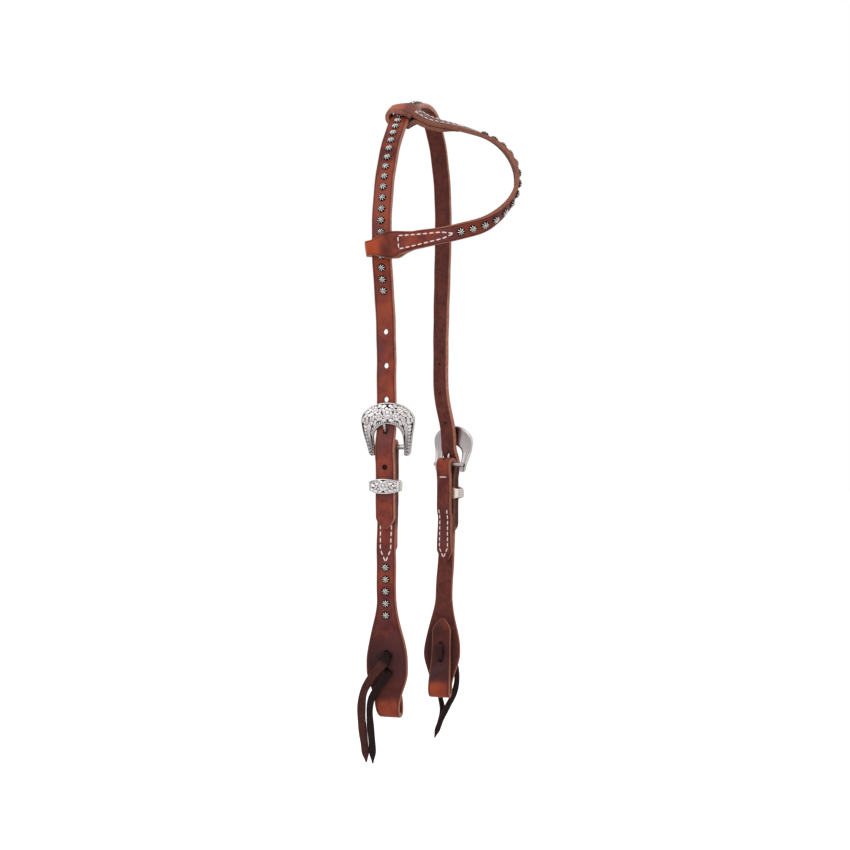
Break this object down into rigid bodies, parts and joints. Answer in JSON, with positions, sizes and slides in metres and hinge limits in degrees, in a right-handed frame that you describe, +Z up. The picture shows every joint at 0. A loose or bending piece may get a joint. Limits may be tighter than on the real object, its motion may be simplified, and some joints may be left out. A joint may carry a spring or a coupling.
{
  "type": "western headstall",
  "caption": "Western headstall with a spotted crown strap, a shaped ear loop that slides along it, and buckled cheeks with keepers and laced bit ends.",
  "frame": {"origin": "underside of the crown strap at its highest point, where the headstall hangs or lies on the poll", "axes": "+Z up, +X to the front of the horse's head, +Y to the horse's near (left) side; the ear loop is on the off side, at -Y"},
  "size_m": [0.1339, 0.2235, 0.5873],
  "materials": {
    "crown_leather": "oiled russet harness leather, tan cut edges",
    "ear_leather": "oiled russet harness leather, tan cut edges",
    "cheek_leather": "oiled russet harness leather, darker toward the bit end",
    "lace": "dark latigo lace",
    "spots": "small domed star spots with blackened rays",
    "engraved_silver": "antiqued silver with common scroll and flower engraving",
    "plain_silver": "plain polished bar and tongue"
  },
  "bodies": {
    "headstall": {"crown_strap": "crown_leather", "off_cheek": "cheek_leather", "near_cheek": "cheek_leather", "off_cheek_spot_1": "spots", "off_cheek_spot_2": "spots", "off_cheek_spot_3": "spots", "off_cheek_spot_4": "spots", "off_cheek_spot_5": "spots", "near_cheek_spot_1": "spots", "near_cheek_spot_2": "spots", "near_cheek_spot_3": "spots", "near_cheek_spot_4": "spots", "near_cheek_spot_5": "spots", "off_tie_lace": "lace", "near_tie_lace": "lace", "off_tie_tail_1": "lace", "off_tie_tail_2": "lace", "near_tie_tail_1": "lace", "near_tie_tail_2": "lace"},
    "ear_piece": {"ear_strap": "ear_leather", "ear_spot_01": "spots", "ear_spot_02": "spots", "ear_spot_03": "spots", "ear_spot_04": "spots", "ear_spot_05": "spots", "ear_spot_06": "spots", "ear_spot_07": "spots", "ear_spot_08": "spots", "ear_spot_09": "spots", "ear_spot_10": "spots", "ear_spot_11": "spots", "ear_spot_12": "spots", "ear_spot_13": "spots", "ear_spot_14": "spots"},
    "off_buckle": {"off_buckle_frame": "engraved_silver", "off_buckle_bar": "plain_silver"},
    "off_tongue": {"off_buckle_tongue": "plain_silver"},
    "off_keeper_loop": {"off_keeper": "engraved_silver"},
    "near_buckle": {"near_buckle_frame": "engraved_silver", "near_buckle_bar": "plain_silver"},
    "near_tongue": {"near_buckle_tongue": "plain_silver"},
    "near_keeper_loop": {"near_keeper": "engraved_silver"}
  },
  "joints": [
    {"name": "ear_slide", "type": "hinge", "parent": "headstall", "child": "ear_piece", "pos_m": [0, 0, -0.1309], "axis": [1, 0, 0], "range_deg": [-18, 7]},
    {"name": "off_keeper_slide", "type": "slide", "parent": "headstall", "child": "off_keeper_loop", "axis": [0, 0, 1], "range_m": [-0.003, 0.01]},
    {"name": "near_keeper_slide", "type": "slide", "parent": "headstall", "child": "near_keeper_loop", "axis": [0, 0, 1], "range_m": [-0.0075, 0.0055]},
    {"name": "off_buckle_hinge", "type": "hinge", "parent": "headstall", "child": "off_buckle", "pos_m": [0.0024, -0.1159, -0.3014], "axis": [1, 0, 0], "range_deg": [0, 3]},
    {"name": "off_tongue_hinge", "type": "hinge", "parent": "off_buckle", "child": "off_tongue", "pos_m": [0.0024, -0.1159, -0.3014], "axis": [1, 0, 0], "range_deg": [0, 4]},
    {"name": "near_buckle_hinge", "type": "hinge", "parent": "headstall", "child": "near_buckle", "pos_m": [0.00581, 0.06378, -0.3207], "axis": [-0.9063, 0.4226, 0], "range_deg": [0, 3]},
    {"name": "near_tongue_hinge", "type": "hinge", "parent": "near_buckle", "child": "near_tongue", "pos_m": [0.00581, 0.06378, -0.3207], "axis": [-0.9063, 0.4226, 0], "range_deg": [0, 4]}
  ]
}
